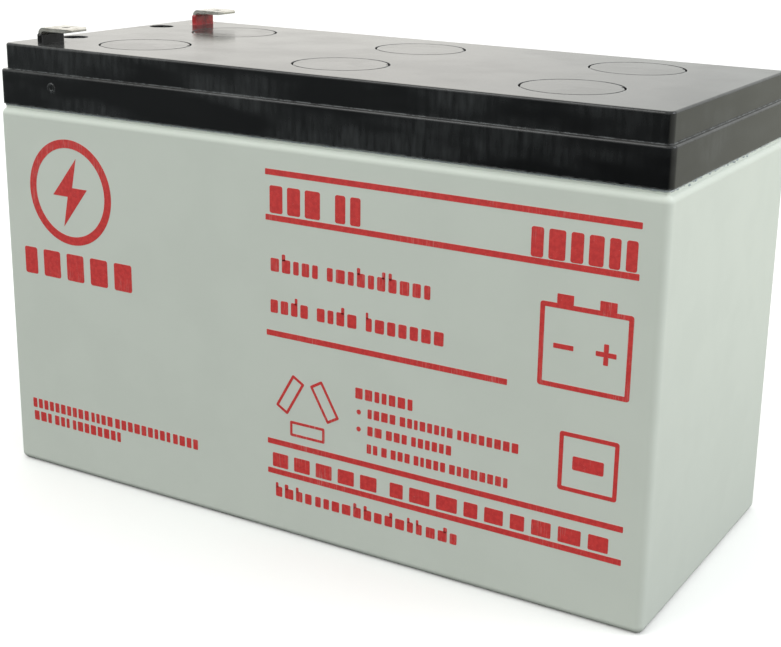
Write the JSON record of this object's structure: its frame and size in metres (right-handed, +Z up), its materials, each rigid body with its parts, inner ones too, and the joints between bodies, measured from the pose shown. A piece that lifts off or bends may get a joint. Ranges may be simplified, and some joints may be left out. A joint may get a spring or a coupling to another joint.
{
  "type": "sealed rechargeable battery",
  "caption": "Box-shaped sealed rechargeable battery with a grey case, a black stepped lid, round vent covers and two flat quick-connect tabs.",
  "frame": {"origin": "centre of the underside of the case", "axes": "+X along the length, away from the terminals; +Y along the width, away from the printed face; +Z up"},
  "size_m": [0.151, 0.065, 0.0975],
  "materials": {
    "container_plastic": "fine satin moulded grey",
    "lid_plastic": "polished black",
    "bond_resin": "cured clear resin",
    "cover_plastic": "polished black",
    "cap_rubber": "matte",
    "positive_paste": "porous brown lead dioxide on a cast lead grid",
    "negative_paste": "porous grey sponge lead on a cast lead grid",
    "glass_mat": "white glass mat",
    "cast_lead": "dull cast lead",
    "tinned_brass": "tinned, satin",
    "red_resin": "cast red resin",
    "black_resin": "cast black resin",
    "red_ink": "screen-printed ink"
  },
  "bodies": {
    "root": {"container": "container_plastic", "lid": "lid_plastic", "lid_bond": "bond_resin", "vent_cover_1": "cover_plastic", "vent_cover_2": "cover_plastic", "vent_cover_3": "cover_plastic", "vent_cover_4": "cover_plastic", "vent_cover_5": "cover_plastic", "vent_cover_6": "cover_plastic", "valve_cap_1": "cap_rubber", "valve_cap_2": "cap_rubber", "valve_cap_3": "cap_rubber", "valve_cap_4": "cap_rubber", "valve_cap_5": "cap_rubber", "valve_cap_6": "cap_rubber", "positive_group_1": "positive_paste", "positive_group_2": "positive_paste", "positive_group_3": "positive_paste", "positive_group_4": "positive_paste", "positive_group_5": "positive_paste", "positive_group_6": "positive_paste", "negative_group_1": "negative_paste", "negative_group_2": "negative_paste", "negative_group_3": "negative_paste", "negative_group_4": "negative_paste", "negative_group_5": "negative_paste", "negative_group_6": "negative_paste", "separator_1": "glass_mat", "separator_2": "glass_mat", "separator_3": "glass_mat", "separator_4": "glass_mat", "separator_5": "glass_mat", "separator_6": "glass_mat", "cell_link_1": "cast_lead", "cell_link_2": "cast_lead", "cell_link_3": "cast_lead", "cell_link_4": "cast_lead", "cell_link_5": "cast_lead", "positive_post": "cast_lead", "negative_post": "cast_lead", "positive_tab": "tinned_brass", "negative_tab": "tinned_brass", "positive_seal": "red_resin", "negative_seal": "black_resin", "front_print": "red_ink"}
  },
  "joints": []
}
